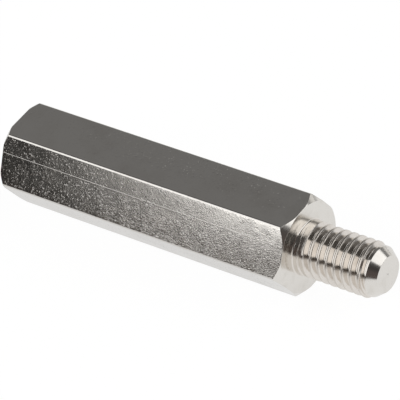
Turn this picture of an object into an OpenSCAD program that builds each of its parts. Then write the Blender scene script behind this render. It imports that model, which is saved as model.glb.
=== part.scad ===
// Hex standoff: a turned hexagonal spacer with a threaded stud at one end and a
// tapped blind hole at the other. It is one piece of metal and lies on a flat,
// along X, with the stud towards +X.

/* [Hexagonal body] */
// Width across the flats
body_af = 8; // [6.5:0.5:12]
// Length of the body, from the hole's end face to the stud's shoulder
body_len = 30; // [16:1:60]
// Radius along the six long edges, as the drawn bar has it
edge_r = 0.18; // [0.1:0.02:0.5]
// How far outside the flats the turned chamfer starts on the hole's end face
hole_chamfer_start = 0.17; // [0.02:0.01:0.3]
// The same on the stud's shoulder
shoulder_chamfer_start = 0.03; // [0.02:0.01:0.3]
// Angle of both chamfers from the end face
chamfer_angle = 45; // [30:5:60]

/* [Thread of the stud and the hole] */
// Nominal diameter
thread_d = 5; // [3:0.25:5.5]
// Distance from one turn to the next
pitch = 0.8; // [0.5:0.05:1]
// How far the plated stud's crests measure under the nominal diameter
crest_drop = 0.15; // [0.05:0.01:0.2]

/* [Stud] */
// Length from the shoulder to the tip
stud_len = 8; // [5:0.5:16]
// How far inside the thread's root the tip's flat ends
tip_margin = 0.36; // [0.1:0.02:0.6]
// Angle of the lead chamfer from that flat
tip_angle = 45; // [30:5:60]
// Distance from the shoulder at which the thread's groove begins
groove_start = 0.3; // [0.1:0.05:1]
// Turns over which the groove runs in from nothing to its full depth
run_in_turns = 1; // [0.5:0.25:2]
// Angle around the axis at which the groove begins
groove_clock = 130; // [0:5:355]
// Diameter of the lathe's centre mark on the tip
mark_d = 0.4; // [0.2:0.05:0.8]

/* [Tapped hole] */
// Depth of the drilled wall, from the end face to where the point begins
hole_depth = 12; // [6:0.5:14]
// Included angle of the drill's point
point_angle = 118; // [90:1:140]
// How far the countersink opens beyond the nominal diameter
sink_margin = 0.4; // [0.1:0.05:0.8]
// Included angle of the countersink
sink_angle = 90; // [60:5:120]

/* [Hidden] */
$fn = 96;

// the hexagon
bar_angle = 60;                                   // from one flat to the next
flat_r = body_af / 2;
edge_axis_r = (flat_r - edge_r) / cos(bar_angle / 2);
hole_face_r = flat_r + hole_chamfer_start;
shoulder_r = flat_r + shoulder_chamfer_start;

// a 60 degree thread: flat crests, and a root a sixth of a pitch wide
flank_angle = 30;                                 // from square to the axis
crest_r = (thread_d - crest_drop) / 2;
groove_depth = 0.6134 * pitch;                    // under the nominal diameter
root_r = thread_d / 2 - groove_depth;
root_half = 7 / 16 * pitch - groove_depth * tan(flank_angle);
cutter_over = 0.05 * pitch;                       // the cutter's reach past the crests
cuts_per_turn = 24;
tip_r = root_r - tip_margin;

// the hole is drilled a pitch under size, and tapped
hole_r = (thread_d - pitch) / 2;
sink_r = (thread_d + sink_margin) / 2;

// what a cut reaches beyond a face that it opens
over = 0.5;

// height of a cone that spans this much radius at this angle from its base
function cone_h(span, angle) = span * tan(angle);

// the bar's section: straight flats, blended by a true arc along each edge
module hexagon() {
    edges = [for (i = [0:5]) bar_angle * (i + 0.5)];
    half_flat = edge_axis_r * sin(bar_angle / 2);
    polygon([
        for (i = [0:5], side = [-1, 1])
            let (a = bar_angle * i)
            [flat_r * cos(a) - side * half_flat * sin(a), flat_r * sin(a) + side * half_flat * cos(a)]
    ]);
    for (a = edges)
        rotate(a) translate([edge_axis_r, 0]) circle(edge_r);
}

// what the lathe leaves of the bar: its length, with a cone at both ends
module turned_envelope() {
    reach = flat_r / cos(bar_angle / 2) + over;
    rotate_extrude() polygon([
        [0, 0], [hole_face_r, 0], [reach, cone_h(reach - hole_face_r, chamfer_angle)],
        [reach, body_len - cone_h(reach - shoulder_r, chamfer_angle)],
        [shoulder_r, body_len], [0, body_len]
    ]);
}

// the hole from the end face at z = 0 upwards
module tapped_hole() {
    sink_h = cone_h(sink_r - hole_r, 90 - sink_angle / 2);
    point_h = cone_h(hole_r, 90 - point_angle / 2);
    over_r = sink_r + over * tan(sink_angle / 2);
    rotate_extrude() polygon([
        [0, -over], [over_r, -over], [hole_r, sink_h],
        [hole_r, hole_depth], [0, hole_depth + point_h]
    ]);
}

module body() {
    difference() {
        intersection() {
            linear_extrude(body_len) hexagon();
            turned_envelope();
        }
        tapped_hole();
    }
}

// the plain blank of the stud, before its thread is cut, rooted in the body
module stud_blank() {
    root_len = 1;
    lead_h = cone_h(crest_r - tip_r, tip_angle);
    rotate_extrude() polygon([
        [0, -root_len], [crest_r, -root_len], [crest_r, stud_len - lead_h],
        [tip_r, stud_len], [0, stud_len]
    ]);
}

// the cutter's section at one step of the helix, with its root at radius r
function cutter_section(r, z, a) = [
    for (side = [-1, 1], q = side < 0 ? [r, crest_r + cutter_over] : [crest_r + cutter_over, r])
        [q * cos(a), q * sin(a), z + side * (root_half + (q - r) * tan(flank_angle))]
];

// right-hand V groove that runs in from the shoulder and out past the tip
module thread_groove() {
    turns = (stud_len - groove_start) / pitch + 1;
    steps = ceil(turns * cuts_per_turn);
    run_in = run_in_turns * cuts_per_turn;
    outside = crest_r + cutter_over / 2;
    sections = [
        for (i = [0:steps])
            cutter_section(
                outside + (root_r - outside) * min(1, i / run_in),
                groove_start + pitch * i / cuts_per_turn,
                groove_clock + 360 * i / cuts_per_turn
            )
    ];
    last = 4 * steps;
    polyhedron(
        points = [for (section = sections) each section],
        faces = [
            [3, 2, 1, 0],
            for (i = [0:steps - 1], k = [0:3])
                let (a = 4 * i + k, b = 4 * i + (k + 1) % 4)
                each [[a, b, b + 4], [a, b + 4, a + 4]],
            [last, last + 1, last + 2, last + 3]
        ],
        convexity = 10
    );
}

// the dimple that the turning tool leaves at the middle of the tip
module centre_mark() {
    mark_h = cone_h(mark_d / 2, 90 - point_angle / 2);
    translate([0, 0, stud_len - mark_h]) cylinder(h = 2 * mark_h, r1 = 0, r2 = mark_d);
}

module stud() {
    difference() {
        stud_blank();
        thread_groove();
        centre_mark();
    }
}

// one piece, laid on a flat with the origin under the middle of its length
module standoff() {
    color("silver")
        translate([-(body_len + stud_len) / 2, 0, flat_r])
            rotate([0, 90, 0]) {
                body();
                translate([0, 0, body_len]) stud();
            }
}

standoff();
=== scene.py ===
"""Hex standoff: a turned hexagonal spacer with a threaded stud and a tapped blind hole.

The visual model is one closed mesh in place of the CAD solid. The bar is lofted with true
rounded edges, Geometry Nodes sweep both threads along their helix, and a second tree joins and
cuts the solids. The classes of the piece work in millimetres, along a local axis +Z that runs
from the hole's end face to the stud. The finished mesh, the finishes and the studio are in
metres, in the CAD's frame.
"""

import logging
import math
from dataclasses import dataclass
from enum import Enum
from typing import Iterable, Sequence

import bmesh
import bpy
import numpy as np
from mathutils import Matrix, Vector


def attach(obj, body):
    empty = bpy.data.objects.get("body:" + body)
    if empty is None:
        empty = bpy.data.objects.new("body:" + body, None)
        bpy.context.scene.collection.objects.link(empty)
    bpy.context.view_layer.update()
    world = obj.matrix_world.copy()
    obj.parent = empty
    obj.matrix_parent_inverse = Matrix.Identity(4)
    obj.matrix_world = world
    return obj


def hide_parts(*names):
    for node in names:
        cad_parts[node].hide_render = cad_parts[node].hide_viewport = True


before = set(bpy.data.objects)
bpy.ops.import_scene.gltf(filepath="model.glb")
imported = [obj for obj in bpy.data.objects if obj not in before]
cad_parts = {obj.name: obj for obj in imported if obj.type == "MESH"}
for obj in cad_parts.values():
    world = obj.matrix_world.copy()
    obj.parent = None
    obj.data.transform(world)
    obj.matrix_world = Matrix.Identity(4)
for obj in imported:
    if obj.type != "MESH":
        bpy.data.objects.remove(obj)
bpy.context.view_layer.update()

LOG = logging.getLogger("standoff")
MM = 0.001
NODE = "standoff"
IMAGE_PX = 400
SIDES = 6
SIDE_TURN = 360 / SIDES
UP = (0.0, 0.0, 1.0)

Point = tuple[float, float]
Span = tuple[float, float]
Triple = tuple[float, float, float]


# ---- shader maths


class Sock:
    """A node's socket that takes part in Python expressions."""

    def __init__(self, graph: "Graph", socket: bpy.types.NodeSocket) -> None:
        """Wraps a node's output; the graph makes the Math nodes that it needs."""
        self.graph = graph
        self.socket = socket

    def _math(self, operation: str, *values: "Sock | float") -> "Sock":
        """One Math node of that operation on these values."""
        return self.graph.node("ShaderNodeMath", {"operation": operation}, dict(enumerate(values)))

    def __add__(self, other: "Sock | float") -> "Sock":
        """self + other."""
        return self._math("ADD", self, other)

    def __radd__(self, other: float) -> "Sock":
        """other + self."""
        return self._math("ADD", other, self)

    def __sub__(self, other: "Sock | float") -> "Sock":
        """self - other."""
        return self._math("SUBTRACT", self, other)

    def __rsub__(self, other: float) -> "Sock":
        """other - self."""
        return self._math("SUBTRACT", other, self)

    def __mul__(self, other: "Sock | float") -> "Sock":
        """self * other."""
        return self._math("MULTIPLY", self, other)

    def __rmul__(self, other: float) -> "Sock":
        """other * self."""
        return self._math("MULTIPLY", other, self)

    def __truediv__(self, other: "Sock | float") -> "Sock":
        """self / other."""
        return self._math("DIVIDE", self, other)

    def __rtruediv__(self, other: float) -> "Sock":
        """other / self."""
        return self._math("DIVIDE", other, self)

    def abs(self) -> "Sock":
        """The value without its sign."""
        return self._math("ABSOLUTE", self)

    def sqrt(self) -> "Sock":
        """The square root."""
        return self._math("SQRT", self)

    def cos(self) -> "Sock":
        """The cosine."""
        return self._math("COSINE", self)

    def sin(self) -> "Sock":
        """The sine."""
        return self._math("SINE", self)

    def max(self, other: "Sock | float") -> "Sock":
        """The larger of two values."""
        return self._math("MAXIMUM", self, other)

    def min(self, other: "Sock | float") -> "Sock":
        """The smaller of two values."""
        return self._math("MINIMUM", self, other)

    def ramp(self, low: float, high: float) -> "Sock":
        """A smooth step from 0 at low to 1 at high; low may be the larger.

        Args:
            low: The value at which the step starts.
            high: The value at which it ends.

        Returns:
            The step, from 0 to 1.
        """
        settings = {"interpolation_type": "SMOOTHSTEP"}
        if low < high:
            return self.graph.node("ShaderNodeMapRange", settings, {0: self, 1: low, 2: high})
        return 1 - self.graph.node("ShaderNodeMapRange", settings, {0: self, 1: high, 2: low})


class Graph:
    """A node tree with one method that makes any node."""

    def __init__(self, tree: bpy.types.NodeTree) -> None:
        """Empties a material's, a world's or a Geometry Nodes tree."""
        self.tree = tree
        tree.nodes.clear()

    def node(self, kind: str, settings: dict | None = None, inputs: dict | None = None,
             out: int | str = 0) -> Sock:
        """Makes a node, with its settings first and then its sockets.

        Args:
            kind: The node's type.
            settings: Its properties.
            inputs: Values or links by the socket's name or number. A list makes several links
                into one socket.
            out: The output that is returned.

        Returns:
            That output.
        """
        made = self.tree.nodes.new(kind)
        for name, value in (settings or {}).items():
            setattr(made, name, value)
        for key, value in (inputs or {}).items():
            for one in value if isinstance(value, list) else [value]:
                if isinstance(one, Sock):
                    self.tree.links.new(one.socket, made.inputs[key])
                else:
                    made.inputs[key].default_value = one
        return Sock(self, made.outputs[out] if made.outputs else None)

    def mix(self, factor: Sock, a: Sock | Triple, b: Sock | Triple) -> Sock:
        """A colour between a and b.

        Args:
            factor: 0 gives a and 1 gives b.
            a: A colour or a link.
            b: A colour or a link.

        Returns:
            The mixed colour.
        """
        first, second = (one if isinstance(one, Sock) else (*one, 1.0) for one in (a, b))
        inputs = {0: factor, 6: first, 7: second}
        return self.node("ShaderNodeMix", {"data_type": "RGBA"}, inputs, 2)

    def split(self, vector: Sock) -> tuple[Sock, Sock, Sock]:
        """The three parts of a vector."""
        first = self.node("ShaderNodeSeparateXYZ", {}, {0: vector})
        return tuple(Sock(self, one) for one in first.socket.node.outputs)

    def along(self, vector: Sock, way: Triple) -> Sock:
        """How far a vector reaches along a direction."""
        settings = {"operation": "DOT_PRODUCT"}
        return self.node("ShaderNodeVectorMath", settings, {0: vector, 1: way}, "Value")

    def noise(self, place: Sock, size: float, detail: float) -> Sock:
        """Noise, about 0 to 1, whose features are about size apart."""
        inputs = {"Vector": place, "Scale": 1 / size, "Detail": detail}
        return self.node("ShaderNodeTexNoise", {}, inputs)

    def scaled(self, place: Sock, scale: Triple) -> Sock:
        """The coordinates, stretched along each axis."""
        return self.node("ShaderNodeVectorMath", {"operation": "MULTIPLY"}, {0: place, 1: scale})


# ---- finishes


class Finish(Enum):
    """How a surface of the standoff was made, in the order of its material slots."""

    DRAWN = 0
    TURNED = 1
    THREAD = 2


@dataclass(frozen=True)
class Layer:
    """Noise that lies over a surface.

    Attributes:
        size: How far apart its features are, in metres.
        detail: How many finer layers it has.
        height: What it is multiplied by.
        step: The noise's values between which it rises from 0 to 1, or none to leave it as it
            is.
    """

    size: float
    detail: float
    height: float = 1.0
    step: Span | None = None

    def over(self, graph: Graph, place: Sock) -> Sock:
        """The layer at every place of the surface."""
        noise = graph.noise(place, self.size, self.detail)
        return (noise.ramp(*self.step) if self.step else noise) * self.height


@dataclass(frozen=True)
class Rise:
    """A strength that changes smoothly along the X axis.

    Attributes:
        start: Where the change starts.
        end: Where it ends; it may be the smaller.
        first: The strength before it.
        last: The strength after it.
    """

    start: float
    end: float
    first: float
    last: float

    def at(self, x: Sock) -> Sock:
        """The strength at x."""
        return x.ramp(self.start, self.end) * (self.last - self.first) + self.first


@dataclass(frozen=True)
class NickelPlate:
    """Bright nickel plate over the marks that a tool left in the metal.

    Attributes:
        finish: The kind of surface.
        colour: The clean plate's reflected colour.
        roughness: The clean plate's roughness.
        relief: What a height of 1 stands for, in metres.
        stain: How dull the plate is, from 0 to 1.
        dulling: What full dullness leaves of each part of the colour.
        stain_roughness: What full dullness adds to the roughness.
        axis_z: The height of the piece's axis.
    """

    finish: Finish
    colour: Triple
    roughness: float
    relief: float
    stain: Layer
    dulling: Triple = (0.82, 0.8, 0.77)
    stain_roughness: float = 0.1
    axis_z: float = 4.0 * MM

    def build(self) -> bpy.types.Material:
        """The finish as a material.

        Returns:
            The material.
        """
        material = bpy.data.materials.new(f"nickel_{self.finish.name.lower()}")
        material.use_nodes = True
        graph = Graph(material.node_tree)
        place = graph.node("ShaderNodeTexCoord", out="Object")
        height, stain, roughness = self.surface(graph, place)
        dull = tuple(part * share for part, share in zip(self.colour, self.dulling))
        bump = graph.node("ShaderNodeBump", {}, {
            "Height": height, "Distance": self.relief, "Strength": 1.0,
        })
        shader = graph.node("ShaderNodeBsdfPrincipled", {}, {
            "Base Color": graph.mix(stain, self.colour, dull),
            "Metallic": 1.0,
            "Roughness": stain * self.stain_roughness + roughness,
            "Normal": bump,
        })
        graph.node("ShaderNodeOutputMaterial", {}, {"Surface": shader})
        return material

    def surface(self, graph: Graph, place: Sock) -> tuple[Sock, Sock, Sock | float]:
        """The height, the dullness and the roughness that this finish gives the plate."""
        raise NotImplementedError

    def from_axis(self, y: Sock, z: Sock) -> Sock:
        """The square of the distance from the piece's axis."""
        up = z - self.axis_z
        return y * y + up * up


@dataclass(frozen=True)
class DrawnNickel(NickelPlate):
    """The drawn flats: grain and pits in the plate, the die's streaks and one deeper line.

    Attributes:
        grain: The plate's grain.
        pits: Small pits in it.
        patches: Where grain and dents are stronger.
        grain_rise: The grain's strength along the bar.
        grain_plain: Its share outside the patches.
        dents: Shallow raised spots.
        dents_plain: Their share outside the patches.
        dents_middle: What is added to it in the middle of the bar.
        middle: The soft ends of the middle.
        front: Where the front side begins, along Y.
        calm: How much calmer the front is above the die line.
        calm_z: The heights over the line between which it gets calmer.
        die_line_z: The height of the line that the die left.
        line_half: Half the line's width.
        line: The line's height along the bar.
        streaks: The long streaks of the die.
        streak_stretch: How much of a streak's length its noise sees.
        crown: The fall towards each flat's sides, for each square metre from the axis.
    """

    finish: Finish = Finish.DRAWN
    colour: Triple = (0.773, 0.75, 0.717)
    roughness: float = 0.075
    relief: float = 0.0058 * MM
    stain: Layer = Layer(3.0 * MM, 3.0, 0.35, (0.45, 0.8))
    grain: Layer = Layer(0.08 * MM, 1.0)
    pits: Layer = Layer(0.14 * MM, 0.0, 1.1, (0.78, 0.84))
    patches: Layer = Layer(1.1 * MM, 1.0, 0.5, (0.38, 0.62))
    grain_rise: Rise = Rise(-13.5 * MM, 1.0 * MM, 0.39, 1.39)
    grain_plain: float = 0.7
    dents: Layer = Layer(0.2 * MM, 1.0, 1.0, (0.6, 0.7))
    dents_plain: float = 0.2
    dents_middle: float = 0.55
    middle: tuple[Span, Span] = ((-15.0 * MM, -8.0 * MM), (8.0 * MM, -1.0 * MM))
    front: Span = (0.0, -1.0 * MM)
    calm: Rise = Rise(-14.0 * MM, -2.0 * MM, 0.22, 0.62)
    calm_z: Span = (-1.1 * MM, 0.3 * MM)
    die_line_z: float = 6.554 * MM
    line_half: float = 0.03 * MM
    line: Rise = Rise(12.0 * MM, -4.0 * MM, 0.09, 0.45)
    streaks: Layer = Layer(0.12 * MM, 2.0, 0.05)
    streak_stretch: float = 0.02
    crown: float = 210000.0

    def surface(self, graph: Graph, place: Sock) -> tuple[Sock, Sock, Sock | float]:
        """The drawn surface.

        Args:
            graph: The material's graph.
            place: The coordinates, in metres.

        Returns:
            The height, the dullness and the roughness.
        """
        x, y, z = graph.split(place)
        front, over_line = y.ramp(*self.front), z - self.die_line_z
        patches = self.patches.over(graph, place)
        grain = self.grain.over(graph, place) - self.pits.over(graph, place)
        grain *= self.grain_rise.at(x) * (patches + self.grain_plain)
        middle = x.ramp(*self.middle[0]) * x.ramp(*self.middle[1]) * self.dents_middle
        dents = self.dents.over(graph, place) * (patches + middle + self.dents_plain)
        calm = front * over_line.ramp(*self.calm_z) * self.calm.at(x)
        line = front * over_line.abs().ramp(self.line_half, 0.0) * self.line.at(x)
        streaks = self.streaks.over(graph, graph.scaled(place, (self.streak_stretch, 1.0, 1.0)))
        height = (grain + dents) * (1 - calm) + streaks + line - self.from_axis(y, z) * self.crown
        return height, self.stain.over(graph, place), self.roughness


@dataclass(frozen=True)
class TurnedNickel(NickelPlate):
    """Turned faces: the fine rings of the lathe's tool.

    Attributes:
        rings: The rings around the axis.
        cloud: The unevenness of the plate over them.
    """

    finish: Finish = Finish.TURNED
    colour: Triple = (0.803, 0.778, 0.738)
    roughness: float = 0.17
    relief: float = 0.002 * MM
    stain: Layer = Layer(1.2 * MM, 2.0, 0.4, (0.45, 0.8))
    rings: Layer = Layer(0.07 * MM, 2.0, 0.5)
    cloud: Layer = Layer(0.2 * MM, 1.0, 0.3)

    def surface(self, graph: Graph, place: Sock) -> tuple[Sock, Sock, Sock | float]:
        """The turned surface.

        Args:
            graph: The material's graph.
            place: The coordinates, in metres.

        Returns:
            The height, the dullness and the roughness.
        """
        x, y, z = graph.split(place)
        radius = self.from_axis(y, z).sqrt()
        ring_place = graph.node("ShaderNodeCombineXYZ", {}, {"X": x, "Y": radius, "Z": 0.0})
        height = self.rings.over(graph, ring_place) + self.cloud.over(graph, place)
        return height, self.stain.over(graph, place), self.roughness


@dataclass(frozen=True)
class ThreadNickel(TurnedNickel):
    """Thread flanks: the chaser's fine lines, and duller plate on the stud's crests.

    Attributes:
        crest_r: The distances from the axis between which the crest begins.
        stud_x: The places along the piece between which the stud begins.
        crest_stain: How dull the crest is.
        crest_roughness: What the crest adds to the roughness.
    """

    finish: Finish = Finish.THREAD
    colour: Triple = (0.788, 0.747, 0.7)
    roughness: float = 0.12
    relief: float = 0.004 * MM
    stain: Layer = Layer(0.8 * MM, 2.0, 0.5, (0.45, 0.8))
    rings: Layer = Layer(0.05 * MM, 1.0, 0.3)
    cloud: Layer = Layer(0.18 * MM, 2.0, 0.4)
    crest_r: Span = (2.4 * MM, 2.415 * MM)
    stud_x: Span = (12.0 * MM, 12.8 * MM)
    crest_stain: float = 0.65
    crest_roughness: float = 0.1

    def surface(self, graph: Graph, place: Sock) -> tuple[Sock, Sock, Sock | float]:
        """The thread's surface.

        Args:
            graph: The material's graph.
            place: The coordinates, in metres.

        Returns:
            The height, the dullness and the roughness.
        """
        height, stain, roughness = super().surface(graph, place)
        x, y, z = graph.split(place)
        crest = self.from_axis(y, z).sqrt().ramp(*self.crest_r) * x.ramp(*self.stud_x)
        dull = stain.max(crest * self.crest_stain)
        return height, dull, crest * self.crest_roughness + roughness


# ---- meshes


def new_object(name: str, verts: Iterable[Sequence[float]], faces: Iterable[Sequence[int]],
               edges: Iterable[Sequence[int]] = ()) -> bpy.types.Object:
    """A mesh object in the scene.

    Args:
        name: The object's name.
        verts: Its points.
        faces: Its faces, as numbers of points.
        edges: Its loose edges.

    Returns:
        The object.
    """
    mesh = bpy.data.meshes.new(name)
    mesh.from_pydata([tuple(map(float, v)) for v in verts], list(edges), list(faces))
    made = bpy.data.objects.new(name, mesh)
    bpy.context.scene.collection.objects.link(made)
    return made


def ring_steps(count: int) -> list[tuple[int, int]]:
    """Each point of a ring with the next one around."""
    return [(j, (j + 1) % count) for j in range(count)]


def bands(rings: int, count: int) -> list[list[int]]:
    """The faces between rings of points that lie one above the other.

    Args:
        rings: How many rings there are.
        count: The points of each.

    Returns:
        The faces, as numbers of points.
    """
    return [
        [i * count + j, i * count + k, (i + 1) * count + k, (i + 1) * count + j]
        for i in range(rings - 1) for j, k in ring_steps(count)
    ]


def loft(name: str, rows: np.ndarray) -> bpy.types.Object:
    """A closed solid from rings of points, capped by a face at either end.

    Args:
        name: The object's name.
        rows: Rings of points, an array of shape (rings, points, 3), each anticlockwise seen
            from +Z, from the lowest cap to the highest.

    Returns:
        The object, with coincident points merged.
    """
    rings, count, _ = rows.shape
    low = list(range(count))[::-1]
    high = list(range((rings - 1) * count, rings * count))
    made = new_object(name, rows.reshape(-1, 3), [low, *bands(rings, count), high])
    merge(made.data, 1e-5)
    return made


def revolve(name: str, profile: Sequence[Point], count: int) -> bpy.types.Object:
    """A closed solid turned from a profile that starts and ends on the axis.

    Args:
        name: The object's name.
        profile: (radius, height) pairs from the lowest point to the highest.
        count: The points around.

    Returns:
        The object.
    """
    angles = np.arange(count) * 2 * math.pi / count
    ring = np.stack([np.cos(angles), np.sin(angles)], axis=1)
    inner = [p for p in profile if p[0] > 0]
    verts = [(*(p[0] * c), p[1]) for p in inner for c in ring]
    verts += [(0, 0, profile[0][1]), (0, 0, profile[-1][1])]
    last, low, high = (len(inner) - 1) * count, len(verts) - 2, len(verts) - 1
    faces = bands(len(inner), count)
    for j, k in ring_steps(count):
        faces += [[low, k, j], [high, last + j, last + k]]
    return new_object(name, verts, faces)


def merge(mesh: bpy.types.Mesh, distance: float) -> None:
    """Merges close points and drops the faces that collapse.

    Args:
        mesh: The mesh.
        distance: How close the points are.
    """
    bm = bmesh.new()
    bm.from_mesh(mesh)
    bmesh.ops.remove_doubles(bm, verts=bm.verts, dist=distance)
    bmesh.ops.dissolve_degenerate(bm, edges=bm.edges, dist=distance)
    bm.to_mesh(mesh)
    bm.free()


def keep_result(made: bpy.types.Object, modifier: bpy.types.Modifier) -> None:
    """Turns a modifier's result into the object's plain mesh and removes the modifier.

    Args:
        made: The object.
        modifier: Its only modifier.
    """
    seen = made.evaluated_get(bpy.context.evaluated_depsgraph_get())
    mesh = bpy.data.meshes.new_from_object(seen)
    made.modifiers.remove(modifier)
    old, made.data = made.data, mesh
    bpy.data.meshes.remove(old)


def flatten_shading(made: bpy.types.Object) -> None:
    """Lets the large faces decide the normals that they share, so flats shade flat.

    Args:
        made: The object.
    """
    modifier = made.modifiers.new("weighted", "WEIGHTED_NORMAL")
    modifier.mode, modifier.weight, modifier.keep_sharp = "FACE_AREA", 50, True
    keep_result(made, modifier)


def fillet(before: Point, corner: Point, after: Point, radius: float, steps: int) -> list[Point]:
    """The arc that rounds a corner of an outline.

    Args:
        before: The point before the corner.
        corner: The corner.
        after: The point after it.
        radius: The arc's radius.
        steps: The arc's steps.

    Returns:
        The arc's points, in order.
    """
    b, c, a = (np.array(p, float) for p in (before, corner, after))
    to_b, to_a = (b - c) / np.linalg.norm(b - c), (a - c) / np.linalg.norm(a - c)
    half = math.acos(float(np.clip(to_b @ to_a, -1, 1))) / 2
    middle = (to_b + to_a) / np.linalg.norm(to_b + to_a)
    centre = c + middle * radius / math.sin(half)
    reach = radius / math.tan(half)
    start, end = c + to_b * reach - centre, c + to_a * reach - centre
    turn = math.pi - 2 * half
    points = []
    for i in range(steps + 1):
        t = i / steps
        way = (math.sin((1 - t) * turn) * start + math.sin(t * turn) * end) / math.sin(turn)
        points.append(tuple(centre + way))
    return points


# ---- the bar


@dataclass
class HexBar:
    """The hexagonal body, with rounded long edges and a turned chamfer at both ends.

    Attributes:
        hole_chamfer_start: How far outside the flats the chamfer starts at the hole's end.
        shoulder_chamfer_start: The same at the shoulder.
        break_r: The radius where a chamfer meets the flats and the end face.
    """

    across_flats: float = 8.0
    length: float = 30.0
    edge_r: float = 0.24
    hole_chamfer_start: float = 0.17
    shoulder_chamfer_start: float = 0.03
    chamfer_angle: float = 45.0
    break_r: float = 0.05
    flat_steps: int = 20
    edge_steps: int = 8
    break_steps: int = 4

    def outline(self) -> tuple[np.ndarray, np.ndarray]:
        """The hexagon's points, drawn in by the break's radius, and the way that each faces.

        Returns:
            Points and unit normals, each of shape (points, 2), anticlockwise.
        """
        inner = self.across_flats / 2 - self.break_r
        arc_r = self.edge_r - self.break_r
        half_turn = math.radians(SIDE_TURN / 2)
        axis_r = (self.across_flats / 2 - self.edge_r) / math.cos(half_turn)
        half = axis_r * math.sin(half_turn)
        points, normals = [], []
        for side in range(SIDES):
            face = math.radians(SIDE_TURN * side)
            out = np.array([math.cos(face), math.sin(face)])
            along = np.array([-math.sin(face), math.cos(face)])
            for i in range(self.flat_steps + 1):
                points.append(out * inner + along * half * (2 * i / self.flat_steps - 1))
                normals.append(out)
            corner = face + half_turn
            middle = axis_r * np.array([math.cos(corner), math.sin(corner)])
            for i in range(1, self.edge_steps):
                turn = face + math.radians(SIDE_TURN * i / self.edge_steps)
                way = np.array([math.cos(turn), math.sin(turn)])
                points.append(middle + arc_r * way)
                normals.append(way)
        return np.array(points), np.array(normals)

    def end_rows(self, chamfer_start: float) -> np.ndarray:
        """The rings of one end, at height 0, from its flat to the bar's sides.

        Args:
            chamfer_start: How far outside the flats this end's chamfer starts.

        Returns:
            An array of shape (rings, points, 3).
        """
        points, normals = self.outline()
        slope = math.radians(self.chamfer_angle)
        sin, cos, rho = math.sin(slope), math.cos(slope), self.break_r
        face_r = self.across_flats / 2 + chamfer_start
        flat_end = face_r - rho * (1 - cos) / sin
        radii = np.linalg.norm(points, axis=1)
        radial = points / radii[:, None]
        coned = radii > flat_end
        first = np.where(coned[:, None], radial * flat_end, points)
        rise = np.where(coned, (radii - face_r) * math.tan(slope) + rho / cos, rho)
        low = np.column_stack([first, np.full(len(points), rho)])
        high = np.column_stack([points, rise])
        down = np.tile([0.0, 0.0, -1.0], (len(points), 1))
        lean = np.where(coned[:, None], radial, normals) * sin
        cone = np.column_stack([lean, np.full(len(points), -cos)])
        side = np.column_stack([normals, np.zeros(len(points))])
        rows = [low + rho * way for way in self._turns(down, cone)]
        rows += [high + rho * way for way in self._turns(cone, side)]
        return np.array(rows)

    def _turns(self, start: np.ndarray, end: np.ndarray) -> list[np.ndarray]:
        """Directions that turn evenly from one to another, in break_steps steps.

        Args:
            start: Unit vectors, of shape (points, 3).
            end: The unit vectors that they turn to.

        Returns:
            The directions at each step, both ends among them.
        """
        angle = np.arccos(np.clip((start * end).sum(axis=1), -1, 1))[:, None]
        return [
            (np.sin((1 - t) * angle) * start + np.sin(t * angle) * end) / np.sin(angle)
            for t in np.linspace(0, 1, self.break_steps + 1)
        ]

    def build(self) -> bpy.types.Object:
        """The bar as a closed solid from height 0 to its length.

        Returns:
            The object.
        """
        low = self.end_rows(self.hole_chamfer_start)
        high = self.end_rows(self.shoulder_chamfer_start)[::-1]
        high[:, :, 2] = self.length - high[:, :, 2]
        return loft("bar", np.concatenate([low, high]))


# ---- Geometry Nodes


class GeoGraph(Graph):
    """A Geometry Nodes tree with named inputs."""

    def __init__(self, tree: bpy.types.NodeTree) -> None:
        """Empties the tree and gives it its two ends.

        Args:
            tree: The tree.
        """
        super().__init__(tree)
        self.start = tree.nodes.new("NodeGroupInput")
        self.end = tree.nodes.new("NodeGroupOutput")
        tree.interface.new_socket("Geometry", in_out="OUTPUT", socket_type="NodeSocketGeometry")

    def input(self, name: str, kind: str) -> Sock:
        """Adds a named input to the tree.

        Args:
            name: Its name.
            kind: Its socket type.

        Returns:
            The socket inside the tree.
        """
        item = self.tree.interface.new_socket(name, in_out="INPUT", socket_type=kind)
        found = next(one for one in self.start.outputs if one.identifier == item.identifier)
        return Sock(self, found)

    def output(self, geometry: Sock, material: Sock | None = None) -> None:
        """Ends the tree in Realize Instances and Set Material.

        Args:
            geometry: The tree's result.
            material: The material's input, or none for a tool that is only cut with.
        """
        inputs = {"Geometry": self.node("GeometryNodeRealizeInstances", {}, {0: geometry})}
        if material is not None:
            inputs["Material"] = material
        dressed = self.node("GeometryNodeSetMaterial", {}, inputs)
        self.tree.links.new(dressed.socket, self.end.inputs[0])


def apply_nodes(carrier: bpy.types.Object, tree: bpy.types.NodeTree,
                values: dict) -> bpy.types.Object:
    """Runs a Geometry Nodes tree on an object and keeps the result as its plain mesh.

    Args:
        carrier: The object whose mesh is the tree's first input.
        tree: The tree.
        values: The tree's other inputs by name.

    Returns:
        The carrier, with the result and no modifier.
    """
    modifier = carrier.modifiers.new(tree.name, "NODES")
    modifier.node_group = tree
    inputs = [item for item in tree.interface.items_tree if item.in_out == "INPUT"]
    identifiers = {item.name: item.identifier for item in inputs}
    for name, value in values.items():
        modifier[identifiers[name]] = value
    keep_result(carrier, modifier)
    return carrier


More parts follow.
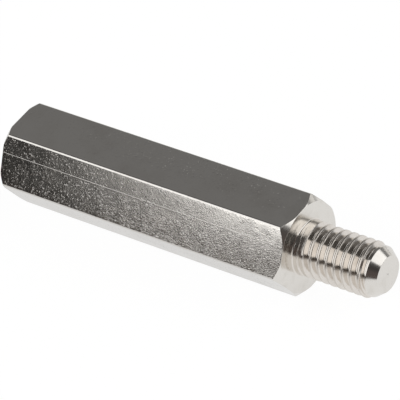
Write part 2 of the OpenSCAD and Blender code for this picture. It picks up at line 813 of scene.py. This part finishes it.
@dataclass
class HelixSweep:
    """Geometry Nodes that sweep a closed section along a helix about +Z.

    Attributes:
        start_z: The height at which the helix begins.
        clock: The angle at which it begins, in degrees.
        steps: The steps of one turn.
        lift: How far outside the radius the run-in starts and the run-out ends.
        run_in: The run-in's length, in turns; a thousandth is as good as none.
        run_out: The run-out's length, in turns.
    """

    name: str
    radius: float
    pitch: float
    turns: float
    start_z: float
    clock: float
    steps: int
    lift: float
    run_in: float = 1e-3
    run_out: float = 1e-3

    def build(self, section: Sequence[Point]) -> bpy.types.Object:
        """Sweeps the section.

        Args:
            section: (distance outside radius, height) pairs around the section.

        Returns:
            A plain mesh object, closed at both ends.
        """
        edges = ring_steps(len(section))
        carrier = new_object(self.name, [(q, -h, 0) for q, h in section], (), edges)
        return apply_nodes(carrier, self.tree(), {
            "Radius": self.radius, "Pitch": self.pitch, "Turns": self.turns,
            "Start height": self.start_z, "Clock": math.radians(self.clock),
            "Steps per turn": self.steps, "Lift": self.lift,
            "Run-in turns": self.run_in, "Run-out turns": self.run_out,
        })

    def tree(self) -> bpy.types.NodeTree:
        """The tree: a spiral, lifted over its run-in and run-out, that carries the section.

        Returns:
            The node tree, with named inputs.
        """
        tree = bpy.data.node_groups.new(f"{self.name}_helix", "GeometryNodeTree")
        graph = GeoGraph(tree)
        section = graph.input("Section", "NodeSocketGeometry")
        radius, pitch, turns, start, clock, lift, run_in, run_out = (
            graph.input(name, "NodeSocketFloat") for name in (
                "Radius", "Pitch", "Turns", "Start height", "Clock", "Lift", "Run-in turns",
                "Run-out turns")
        )
        steps = graph.input("Steps per turn", "NodeSocketInt")
        spiral = graph.node("GeometryNodeCurveSpiral", {}, {
            "Resolution": steps, "Rotations": turns, "Start Radius": 1.0, "End Radius": 1.0,
            "Height": 1.0, "Reverse": False,
        })
        done = graph.node("GeometryNodeSplineParameter") * turns
        angle = done * (2 * math.pi) + clock
        fade = 1 - (done / run_in).min(1.0) * ((turns - done) / run_out).min(1.0)
        reach = radius + lift * fade
        place = graph.node("ShaderNodeCombineXYZ", {}, {
            "X": reach * angle.cos(), "Y": reach * angle.sin(), "Z": start + done * pitch,
        })
        path = graph.node("GeometryNodeSetPosition", {}, {"Geometry": spiral, "Position": place})
        path = graph.node("GeometryNodeSetCurveNormal", {"mode": "Z_UP"}, {"Curve": path})
        profile = graph.node("GeometryNodeMeshToCurve", {}, {"Mesh": section})
        swept = graph.node("GeometryNodeCurveToMesh", {}, {
            "Curve": path, "Profile Curve": profile, "Fill Caps": True,
        })
        graph.output(swept)
        return tree


# ---- the threads


@dataclass(frozen=True)
class MetricThread:
    """The form that the stud and the hole share.

    Attributes:
        flank: The angle of a flank from square to the axis, in degrees.
        crest_flat: The flat at the nominal radius, in pitches.
        root_share: The stud's depth under the nominal radius, in pitches.
    """

    nominal_r: float = 2.5
    pitch: float = 0.8
    flank: float = 30.0
    crest_flat: float = 1 / 8
    root_share: float = 0.6134

    @property
    def lean(self) -> float:
        """Half-width gained for each millimetre of radius along a flank."""
        return math.tan(math.radians(self.flank))

    @property
    def groove_half(self) -> float:
        """Half the groove's width at the nominal radius."""
        return (1 - self.crest_flat) / 2 * self.pitch


@dataclass
class Stud:
    """The male end: a turned blank and the groove that is cut into it.

    Attributes:
        crest_drop: How far the crests lie under the nominal radius.
        tip_r: The radius of the tip's flat.
        end_r: The radius of the turned-down last turn.
        end_ramp: The length of the step down to it.
        lead_angle: The angle of the lead cone from the tip's flat, in degrees.
        groove_start: How far from the shoulder the groove begins.
        groove_clock: The angle at which it begins, in degrees.
        mark_slope: The mark's depth for its radius.
        face_rings: The radii of the rings that divide the tip's flat.
        root_fillet: The radius in the groove's corners.
        crest_breaks: The radii on the crest's lower and upper edges.
        crest_turns: The places around those edges, in degrees.
        tip_break: The radius on both edges of the lead cone.
        rooted: How deep the blank reaches into the bar.
        skin: How far under the shoulder the fillet's foot lies.
        over: How far the cutter reaches past the crests.
        flare: How much wider it is there.
        lift: How far past the crests its root starts the run-in.
    """

    thread: MetricThread
    length: float = 8.0
    crest_drop: float = 0.075
    tip_r: float = 1.65
    end_r: float = 2.24
    end_length: float = 1.28
    end_ramp: float = 0.04
    lead_angle: float = 53.0
    groove_start: float = 0.36
    groove_clock: float = 157.0
    groove_steps: int = 144
    mark_r: float = 0.2
    mark_slope: float = 0.6
    face_rings: tuple[float, ...] = (1.1, 0.6)
    root_fillet: float = 0.06
    crest_breaks: tuple[float, float] = (0.05, 0.085)
    crest_turns: tuple[int, ...] = (60, 48, 36, 24, 12)
    tip_break: float = 0.05
    neck_fillet: float = 0.13
    neck_steps: int = 6
    rooted: float = 1.0
    skin: float = 0.001
    over: float = 0.05
    flare: float = 0.005
    lift: float = 0.02
    around: int = 192

    @property
    def crest_r(self) -> float:
        """The plated crests' radius."""
        return self.thread.nominal_r - self.crest_drop

    @property
    def root_r(self) -> float:
        """The radius at the foot of the groove."""
        return self.thread.nominal_r - self.thread.root_share * self.thread.pitch

    @property
    def lead(self) -> float:
        """The height of the lead cone at the tip."""
        return (self.end_r - self.tip_r) * math.tan(math.radians(self.lead_angle))

    def blank(self, base: float) -> bpy.types.Object:
        """The stud before its thread is cut, with a lathe's centre mark in its tip.

        Args:
            base: The shoulder's height.

        Returns:
            The object.
        """
        tip = base + self.length
        end = tip - self.end_length
        shoulder, edge, mark = (self.end_r, tip - self.lead), (self.tip_r, tip), (self.mark_r, tip)
        neck, wide = self.neck_fillet, self.crest_r + self.neck_fillet
        profile = [(0, base - self.rooted), (wide, base - self.rooted), (wide, base - self.skin)]
        for step in range(1, self.neck_steps + 1):
            turn = math.radians(90 / self.neck_steps * step)
            profile.append((wide - neck * math.sin(turn), base + neck * (1 - math.cos(turn))))
        profile += [(self.crest_r, end - self.end_ramp), (self.end_r, end)]
        profile += fillet((self.end_r, end), shoulder, edge, self.tip_break, steps=3)
        profile += fillet(shoulder, edge, mark, self.tip_break, steps=4)
        profile += [(radius, tip) for radius in self.face_rings]
        profile += [mark, (0, tip - self.mark_r * self.mark_slope)]
        return revolve("stud_blank", profile, self.around)

    def crest_edge(self, rim: float) -> list[Point]:
        """Half of the groove's section, from its root to past the crest's rounded edge.

        Args:
            rim: The radius on the crest's edge.

        Returns:
            (distance outside the root, height) pairs.
        """
        thread, depth = self.thread, self.crest_r - self.root_r
        root_half = thread.groove_half - (thread.nominal_r - self.root_r) * thread.lean
        crest_half = root_half + depth * thread.lean
        start = crest_half + rim * thread.lean
        side = fillet((0, 0), (0, root_half), (depth, crest_half), self.root_fillet, steps=3)
        for turn in map(math.radians, self.crest_turns):
            side.append((depth - rim * (1 - math.cos(turn)), start - rim * math.sin(turn)))
        return side + [(depth + self.over, start + self.flare)]

    def groove(self, base: float) -> bpy.types.Object:
        """The cutter of the thread's groove, whose section leaves rounded crests and roots.

        Args:
            base: The shoulder's height.

        Returns:
            The object.
        """
        below, above = (self.crest_edge(rim) for rim in self.crest_breaks)
        section = [(0.0, 0.0)] + above + [(q, -h) for q, h in below[::-1]]
        pitch = self.thread.pitch
        sweep = HelixSweep(
            "stud_groove", self.root_r, pitch, (self.length - self.groove_start) / pitch + 1,
            base + self.groove_start, self.groove_clock, self.groove_steps,
            self.crest_r - self.root_r + self.lift, run_in=1.0)
        return sweep.build(section)


@dataclass
class TappedHole:
    """The female end: a drilled and countersunk hole, and the ridge that the tap cuts.

    Attributes:
        depth: The depth of the wall, to where the point begins.
        point_rings: The shares of the point's height at which rings divide it.
        sink_r: The countersink's radius at the end face.
        over: How far the drill's tool reaches outside the end face.
        tapped: The length of the tap's helix, from a pitch outside the end face.
        ridge_clock: The angle at which the ridge begins, in degrees.
        ridge_back: How far the ridge's tool reaches inside the wall.
        foot_from: Where the straight part of that tool ends.
        clear: How far the run-out ends inside the wall.
    """

    thread: MetricThread
    wall_r: float = 2.1
    depth: float = 12.0
    point_angle: float = 118.0
    point_rings: tuple[float, ...] = (0.35, 0.7, 0.97)
    sink_r: float = 2.7
    over: float = 0.5
    tapped: float = 10.4
    ridge_clock: float = 40.0
    ridge_steps: int = 96
    ridge_back: float = 0.12
    foot_from: float = 0.1
    foot_fillet: float = 0.04
    tip_fillet: float = 0.05
    clear: float = 0.05
    around: int = 144

    def drill(self) -> bpy.types.Object:
        """The void of the drill and the countersink, from below height 0 upwards.

        Returns:
            The object.
        """
        tip = self.wall_r / math.tan(math.radians(self.point_angle / 2))
        sink = self.sink_r - self.wall_r
        profile = [(0, -self.over), (self.sink_r + self.over, -self.over)]
        profile += [(self.sink_r, 0), (self.wall_r, sink), (self.wall_r, self.depth)]
        profile += [(self.wall_r * (1 - t), self.depth + tip * t) for t in self.point_rings]
        profile += [(0, self.depth + tip)]
        return revolve("drill", profile, self.around)

    def ridge(self) -> bpy.types.Object:
        """The tap's thread as a solid outside the drilled wall.

        Returns:
            The object.
        """
        pitch, depth = self.thread.pitch, self.thread.nominal_r - self.wall_r
        tip_half = self.thread.crest_flat / 2 * pitch
        foot = (0, tip_half + depth * self.thread.lean)
        side = [(-self.ridge_back, 0.0), (-self.ridge_back, foot[1])]
        tip = (depth, tip_half)
        side += fillet((-self.foot_from, foot[1]), foot, tip, self.foot_fillet, steps=3)
        side += fillet(foot, tip, (depth, 0), self.tip_fillet, steps=3)
        section = side + [(q, -h) for q, h in side[:0:-1]]
        sweep = HelixSweep(
            "tap_ridge", self.wall_r, pitch, self.tapped / pitch, -pitch, self.ridge_clock,
            self.ridge_steps, -depth - self.clear, run_out=1.0)
        return sweep.build(section)


# ---- the whole


@dataclass
class Standoff:
    """The whole piece: the bar and the stud joined, and the thread and the hole cut.

    Attributes:
        weld: The distance within which the cut mesh's points are merged.
        crease: The angle past which an edge shades sharp, in degrees.
        margin: How far inside its bounds a face's middle counts as the stud's.
        hole_margin: How far outside the nominal radius the hole's faces reach.
        flat_margin: How far inside the flats a drawn face may lie.
        level: The lean above which a face lies square to the axis.
        upright: The lean below which a face is one of the bar's sides.
    """

    bar: HexBar
    stud: Stud
    hole: TappedHole
    weld: float = 2e-4
    crease: float = 32.0
    margin: Span = (0.01, 0.02)
    hole_margin: float = 0.05
    flat_margin: float = 0.1
    level: float = 0.99
    upright: float = 0.35

    def tree(self, tools: Sequence[str]) -> bpy.types.NodeTree:
        """The tree that joins the blank to the bar and takes each tool away.

        Args:
            tools: The names of the cutting tools.

        Returns:
            The node tree, with one object input for each solid.
        """
        tree = bpy.data.node_groups.new("join_and_cut", "GeometryNodeTree")
        graph = GeoGraph(tree)
        solid = graph.input("Bar", "NodeSocketGeometry")
        material = graph.input("Material", "NodeSocketMaterial")
        for name, operation in [("Blank", "UNION")] + [(tool, "DIFFERENCE") for tool in tools]:
            source = graph.input(name, "NodeSocketObject")
            other = graph.node("GeometryNodeObjectInfo", {}, {"Object": source}, "Geometry")
            union = operation == "UNION"
            inputs = {"Mesh 2": [solid, other]} if union else {"Mesh 1": solid, "Mesh 2": other}
            settings = {"operation": operation, "solver": "MANIFOLD"}
            solid = graph.node("GeometryNodeMeshBoolean", settings, inputs)
        graph.output(solid, material)
        return tree

    def build(self, finishes: dict[Finish, bpy.types.Material]) -> bpy.types.Object:
        """The finished piece in the CAD's frame, in metres.

        Args:
            finishes: The material of each kind of surface.

        Returns:
            The object.
        """
        shoulder = self.bar.length
        body = self.bar.build()
        tools = {
            "Groove": self.stud.groove(shoulder),
            "Drill": self.hole.drill(),
            "Ridge": self.hole.ridge(),
        }
        blank = self.stud.blank(shoulder)
        for each in (body, blank, *tools.values()):
            LOG.info("solid %s: %d faces", each.name, len(each.data.polygons))
        made = apply_nodes(body, self.tree(list(tools)), {
            "Blank": blank, "Material": finishes[Finish.DRAWN], **tools,
        })
        for used in (blank, *tools.values()):
            bpy.data.objects.remove(used)
        merge(made.data, self.weld)
        made.name = made.data.name = "standoff_metal"
        self._dress(made.data, finishes)
        flatten_shading(made)
        self._place(made.data)
        return made

    def _dress(self, mesh: bpy.types.Mesh, finishes: dict[Finish, bpy.types.Material]) -> None:
        """Gives each face the finish of the tool that made it, and its shading.

        Args:
            mesh: The piece's mesh, before it is laid down.
            finishes: The material of each kind of surface.
        """
        mesh.materials.clear()
        for finish in Finish:
            mesh.materials.append(finishes[finish])
        for face in mesh.polygons:
            face.material_index = self._finish(face.center, face.normal).value
            face.use_smooth = True
        mesh.set_sharp_from_angle(angle=math.radians(self.crease))

    def _finish(self, centre: Vector, normal: Vector) -> Finish:
        """The finish of a face, from its place.

        Args:
            centre: The face's middle.
            normal: The way that it faces.

        Returns:
            The finish.
        """
        radius, lean = math.hypot(centre.x, centre.y), abs(normal.z)
        above, below = self.margin
        thread_end = self.bar.length + self.stud.length - self.stud.lead - below
        if self.bar.length + above < centre.z < thread_end:
            return Finish.THREAD
        in_hole = radius < self.stud.thread.nominal_r + self.hole_margin
        if in_hole and centre.z < self.hole.depth and lean < self.level:
            return Finish.THREAD
        if radius > self.bar.across_flats / 2 - self.flat_margin and lean < self.upright:
            return Finish.DRAWN
        return Finish.TURNED

    def _place(self, mesh: bpy.types.Mesh) -> None:
        """Lays the piece on its flat, with the origin under the middle of its length.

        Args:
            mesh: The piece's mesh.
        """
        middle = (self.bar.length + self.stud.length) / 2
        lie = Matrix.Translation((-middle * MM, 0, self.bar.across_flats / 2 * MM))
        lie @= Matrix.Rotation(math.radians(90), 4, "Y")
        mesh.transform(lie @ Matrix.Scale(MM, 4))
        mesh.update()


# ---- the studio


@dataclass(frozen=True)
class Softbox:
    """A lamp with a plain rectangular face that looks at the stud.

    Attributes:
        azimuth: Its direction from the stud, in degrees from +X towards +Y.
        elevation: Its height above the floor, in degrees.
        size: Its width and height, in metres.
        radiance: How bright its face is, where 1 is white.
        roll: Its turn about the line to the stud, in degrees.
        stud: The middle of the stud.
    """

    name: str
    azimuth: float
    elevation: float
    distance: float
    size: tuple[float, float]
    radiance: float
    roll: float = 0.0
    stud: Triple = (15.0 * MM, 0.0, 4.0 * MM)

    def build(self) -> None:
        """Makes the lamp."""
        data = bpy.data.lights.new(self.name, "AREA")
        data.shape = "RECTANGLE"
        data.size, data.size_y = self.size
        data.energy = self.radiance * math.pi * self.size[0] * self.size[1]
        lamp = bpy.data.objects.new(self.name, data)
        bpy.context.scene.collection.objects.link(lamp)
        az, el = math.radians(self.azimuth), math.radians(self.elevation)
        way = Vector((math.cos(el) * math.cos(az), math.cos(el) * math.sin(az), math.sin(el)))
        across = Vector(UP).cross(way).normalized()
        facing = Matrix((across, way.cross(across), way)).transposed()
        facing @= Matrix.Rotation(math.radians(self.roll), 3, "Z")
        lamp.location = Vector(self.stud) + way * self.distance
        lamp.rotation_mode = "QUATERNION"
        lamp.rotation_quaternion = facing.to_quaternion()
        lamp.visible_camera = False


@dataclass(frozen=True)
class Screen:
    """A part of the room, as the metal sees it.

    Attributes:
        edges: Its soft edges: a direction, and how far along it in the unit sphere the screen
            starts to fade in and is whole.
        colour: Its colour, or its lower one.
        upper: Its upper colour, where it has two.
        change: The heights in the unit sphere between which the one becomes the other.
    """

    edges: tuple[tuple[Triple, float, float], ...]
    colour: Triple
    upper: Triple | None = None
    change: Span = (0.0, 1.0)

    def over(self, graph: Graph, way: Sock, behind: Sock | Triple) -> Sock:
        """The room's colour with this screen in front of what is there.

        Args:
            graph: The world's graph.
            way: The direction that is looked in.
            behind: The colour of what is there.

        Returns:
            The colour.
        """
        mask: Sock | float = 1.0
        for edge, start, whole in self.edges:
            mask = mask * graph.along(way, edge).ramp(start, whole)
        colour = self.colour
        if self.upper:
            colour = graph.mix(graph.along(way, UP).ramp(*self.change), colour, self.upper)
        return graph.mix(mask, behind, colour)


@dataclass
class PaperFloor:
    """The white floor, which keeps the piece's shadow and which metal shows as white.

    Attributes:
        paper: How much light the paper reflects.
        glow_share: The share of the emitted light where the floor is seen or mirrored.
        backdrop: The emitted light that the camera sees.
        painted_glow: The light that metal shows, along X: painted light, brighter towards +X
            where the right lamp falls.
        far_ways: Two directions, along X and Y, and how far the painted pool of light reaches
            along each.
        far: How far past that the painted light starts to fade and is faded.
        painted_far_shade: What it loses there, painted shade on the floor away from the pool.
    """

    half: float = 3.0
    paper: float = 0.9
    glow_share: float = 0.85
    backdrop: float = 1.11
    # Painted light: the floor's emission rises along X, brighter on the side where the right lamp
    # falls.
    painted_glow: Rise = Rise(5.0 * MM, 15.0 * MM, 0.84, 0.94)
    # Painted shade: past these reaches the floor's emission fades, leaving a painted pool of light
    # around the piece.
    far_ways: tuple[Triple, ...] = ((-0.4, -0.917, 0.0), (0.95, 0.3, 0.02))
    far: Span = (0.018, 0.1)
    painted_far_shade: float = 0.7

    def build(self) -> None:
        """Makes the floor."""
        material = bpy.data.materials.new("floor_white")
        material.use_nodes = True
        graph = Graph(material.node_tree)
        rays = graph.node("ShaderNodeLightPath").socket.node.outputs
        camera, mirror, glass = (
            Sock(graph, rays[f"Is {kind} Ray"]) for kind in ("Camera", "Glossy", "Transmission"))
        x, y, _ = graph.split(graph.node("ShaderNodeTexCoord", out="Object"))
        # Painted shade: the floor darkens away from the painted pool of light near the piece.
        past, beside = (x * a + y * b - reach for a, b, reach in self.far_ways)
        painted_shade_amount = past.max(beside).ramp(*self.far) * self.painted_far_shade
        # Painted light: the mirrored floor is brighter towards +X; the camera sees the even
        # backdrop.
        light = (self.painted_glow.at(x) - painted_shade_amount).max(camera * self.backdrop)
        painted_glow = graph.node("ShaderNodeEmission", {}, {"Color": light, "Strength": 1.0})
        paper = graph.node("ShaderNodeBsdfDiffuse", {}, {"Color": (*(self.paper,) * 3, 1)})
        mostly = graph.node("ShaderNodeMixShader", {}, {0: self.glow_share, 1: paper, 2: painted_glow})
        shown = camera.max(mirror).max(glass)
        shader = graph.node("ShaderNodeMixShader", {}, {0: shown, 1: paper, 2: mostly})
        graph.node("ShaderNodeOutputMaterial", {}, {"Surface": shader})
        h = self.half
        made = new_object("floor", [(-h, -h, 0), (h, -h, 0), (h, h, 0), (-h, h, 0)], [range(4)])
        made.data.materials.append(material)


FRONT_EDGES = (((-0.5, -0.866, 0.0), 0.5, 0.9), (UP, 0.3, 0.22))
ACROSS_FRONT = (0.8387, -0.5446, 0.0)


@dataclass
class Studio:
    """The floor, the dim room, its softboxes and the camera.

    Attributes:
        room: The room's colour where no screen stands.
        screens: The ceiling, the viewer's side, the front, the strip under the left lamp and
            the white paper at the back. A later one stands before the earlier ones.
        lens_px: The camera's focal length, in pixels of the image.
        azimuth: The camera's direction, in degrees.
        roll: Its turn about its own axis, in degrees.
        shift: How far it is moved sideways and down, in metres.
        clip: The nearest and farthest distance that it sees.
    """

    room: Triple = (0.178, 0.176, 0.174)
    screens: tuple[Screen, ...] = (
        Screen(((UP, 0.68, 0.84),), (0.07, 0.068, 0.066)),
        Screen((((0.845, -0.53, 0.0), 0.5, 0.8),), (0.09, 0.074, 0.068), (0.04, 0.038, 0.037),
               (0.35, 0.6)),
        Screen(FRONT_EDGES, (0.13, 0.105, 0.09), (0.022, 0.021, 0.02), (0.06, 0.1)),
        Screen(FRONT_EDGES + ((ACROSS_FRONT, -0.025, 0.001), (ACROSS_FRONT, 0.1, 0.05),
                              (UP, 0.122, 0.14)), (0.62, 0.61, 0.595)),
        Screen((((-0.574, 0.819, 0.0), 0.42, 0.55), (UP, 0.32, 0.1)), (0.8, 0.79, 0.77)),
    )
    boxes: tuple[Softbox, ...] = (
        Softbox("left_box", -129.9, 42.2, 0.35, (0.313, 0.370), 1.02, 56.0),
        Softbox("right_box", 32.3, 36.5, 0.5, (0.50, 0.52), 1.06),
    )
    lens_px: float = 3425.5
    target: Triple = (-0.001, 0.0, 0.004)
    azimuth: float = 44.299
    elevation: float = 40.923
    roll: float = 13.737
    distance: float = 0.29328
    shift: tuple[float, float] = (-0.0005505, -0.0006517)
    clip: Span = (0.01, 20.0)

    def build(self) -> None:
        """Makes everything that isn't the piece."""
        PaperFloor().build()
        self.world()
        for box in self.boxes:
            box.build()
        self.camera()

    def world(self) -> None:
        """The dim room and its screens, which light the metal from every side."""
        world = bpy.data.worlds.new("room")
        bpy.context.scene.world = world
        world.use_nodes = True
        graph = Graph(world.node_tree)
        way = graph.node("ShaderNodeTexCoord", out="Generated")
        colour: Sock | Triple = self.room
        for screen in self.screens:
            colour = screen.over(graph, way, colour)
        shader = graph.node("ShaderNodeBackground", {}, {"Color": colour, "Strength": 1.0})
        graph.node("ShaderNodeOutputWorld", {}, {"Surface": shader})

    def camera(self) -> None:
        """The camera, turned about its own axis as the view needs."""
        a, e, r = (math.radians(v) for v in (self.azimuth, self.elevation, self.roll))
        back = Vector((math.cos(e) * math.sin(a), -math.cos(e) * math.cos(a), math.sin(e)))
        right = Vector((math.cos(a), math.sin(a), 0))
        up = back.cross(right)
        across = math.cos(r) * right - math.sin(r) * up
        upright = math.sin(r) * right + math.cos(r) * up
        data = bpy.data.cameras.new("camera")
        data.sensor_fit = "HORIZONTAL"
        data.lens = self.lens_px / IMAGE_PX * data.sensor_width
        data.clip_start, data.clip_end = self.clip
        camera = bpy.data.objects.new("camera", data)
        bpy.context.scene.collection.objects.link(camera)
        place = Vector(self.target) + self.distance * back
        place -= self.shift[0] * across + self.shift[1] * upright
        turn = Matrix((across, upright, back)).transposed().to_4x4()
        camera.matrix_world = Matrix.Translation(place) @ turn
        bpy.context.scene.camera = camera


def main() -> None:
    """Builds the standoff and its studio."""
    logging.basicConfig(level=logging.INFO, format="%(name)s: %(message)s")
    scene = bpy.context.scene
    scene.view_settings.view_transform = "Standard"
    Studio().build()
    plates = (DrawnNickel(), TurnedNickel(), ThreadNickel())
    finishes = {plate.finish: plate.build() for plate in plates}
    thread = MetricThread()
    piece = Standoff(HexBar(), Stud(thread), TappedHole(thread)).build(finishes)
    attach(piece, "root")
    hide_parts(NODE)
    LOG.info("piece %s: %d faces", piece.name, len(piece.data.polygons))


if __name__ == "__main__":
    main()
